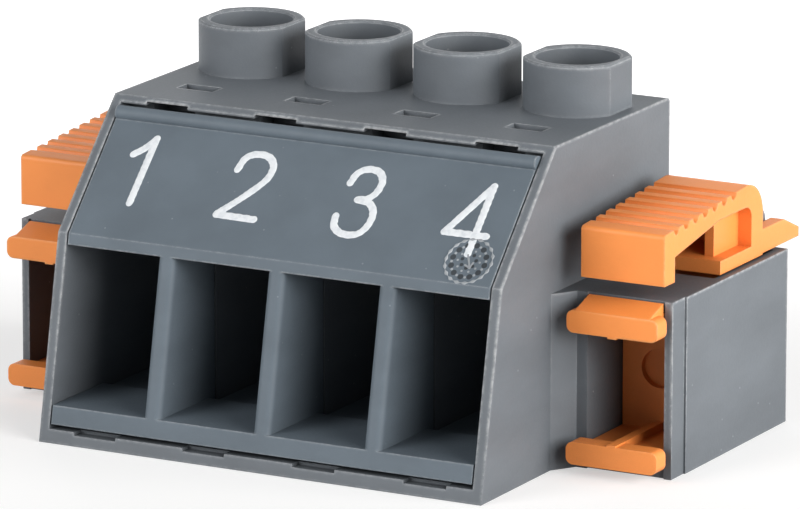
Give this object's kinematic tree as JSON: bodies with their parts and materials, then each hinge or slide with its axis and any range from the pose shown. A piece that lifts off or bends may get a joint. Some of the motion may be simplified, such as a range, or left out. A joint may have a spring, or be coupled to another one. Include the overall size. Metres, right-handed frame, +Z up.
{
  "type": "pluggable terminal block",
  "caption": "Grey pluggable terminal block with wire openings in a sloped front, screw towers on top and an orange locking slide on each side.",
  "frame": {"origin": "on the base, in the middle of the body's width and depth", "axes": "+X along the row of poles, to the right seen from the wire side; +Y from the wire side to the plug side; +Z up"},
  "size_m": [0.0456, 0.0286, 0.0232],
  "materials": {
    "housing": "blue-grey moulded thermoplastic, fine satin",
    "wire_entry_cover": "blue-grey moulded thermoplastic, fine satin",
    "clamp_screw": "zinc plated steel",
    "clamp_yoke": "zinc plated folded steel",
    "contact": "tin plated copper alloy",
    "contact_spring": "stainless spring steel",
    "slide": "orange moulded thermoplastic, satin"
  },
  "bodies": {
    "body": {"housing": "housing", "wire_entry_cover": "wire_entry_cover", "contact_1": "contact", "contact_2": "contact", "contact_3": "contact", "contact_4": "contact", "contact_spring_1": "contact_spring", "contact_spring_2": "contact_spring", "contact_spring_3": "contact_spring", "contact_spring_4": "contact_spring"},
    "screw_1": {"clamp_screw_1": "clamp_screw"},
    "yoke_1": {"clamp_yoke_1": "clamp_yoke"},
    "screw_2": {"clamp_screw_2": "clamp_screw"},
    "yoke_2": {"clamp_yoke_2": "clamp_yoke"},
    "screw_3": {"clamp_screw_3": "clamp_screw"},
    "yoke_3": {"clamp_yoke_3": "clamp_yoke"},
    "screw_4": {"clamp_screw_4": "clamp_screw"},
    "yoke_4": {"clamp_yoke_4": "clamp_yoke"},
    "slide_left": {"release_slide_left": "slide"},
    "slide_right": {"release_slide_right": "slide"}
  },
  "joints": [
    {"name": "screw_1_turn", "type": "hinge", "parent": "body", "child": "screw_1", "pos_m": [-0.01143, 0.0068, 0.018], "axis": [0, 0, -1], "range_deg": [0, 2520]},
    {"name": "yoke_1_lift", "type": "slide", "parent": "body", "child": "yoke_1", "axis": [0, 0, 1], "range_m": [0, 0.0035]},
    {"name": "screw_2_turn", "type": "hinge", "parent": "body", "child": "screw_2", "pos_m": [-0.00381, 0.0068, 0.018], "axis": [0, 0, -1], "range_deg": [0, 2520]},
    {"name": "yoke_2_lift", "type": "slide", "parent": "body", "child": "yoke_2", "axis": [0, 0, 1], "range_m": [0, 0.0035]},
    {"name": "screw_3_turn", "type": "hinge", "parent": "body", "child": "screw_3", "pos_m": [0.00381, 0.0068, 0.018], "axis": [0, 0, -1], "range_deg": [0, 2520]},
    {"name": "yoke_3_lift", "type": "slide", "parent": "body", "child": "yoke_3", "axis": [0, 0, 1], "range_m": [0, 0.0035]},
    {"name": "screw_4_turn", "type": "hinge", "parent": "body", "child": "screw_4", "pos_m": [0.01143, 0.0068, 0.018], "axis": [0, 0, -1], "range_deg": [0, 2520]},
    {"name": "yoke_4_lift", "type": "slide", "parent": "body", "child": "yoke_4", "axis": [0, 0, 1], "range_m": [0, 0.0035]},
    {"name": "slide_left_pull", "type": "slide", "parent": "body", "child": "slide_left", "axis": [0, -1, 0], "range_m": [0, 0.0025]},
    {"name": "slide_right_pull", "type": "slide", "parent": "body", "child": "slide_right", "axis": [0, -1, 0], "range_m": [0, 0.0025]}
  ],
  "couplings": [
    {"joint": "screw_1_turn", "follows": "yoke_1_lift", "rad_per_m": 12566},
    {"joint": "screw_2_turn", "follows": "yoke_2_lift", "rad_per_m": 12566},
    {"joint": "screw_3_turn", "follows": "yoke_3_lift", "rad_per_m": 12566},
    {"joint": "screw_4_turn", "follows": "yoke_4_lift", "rad_per_m": 12566}
  ]
}
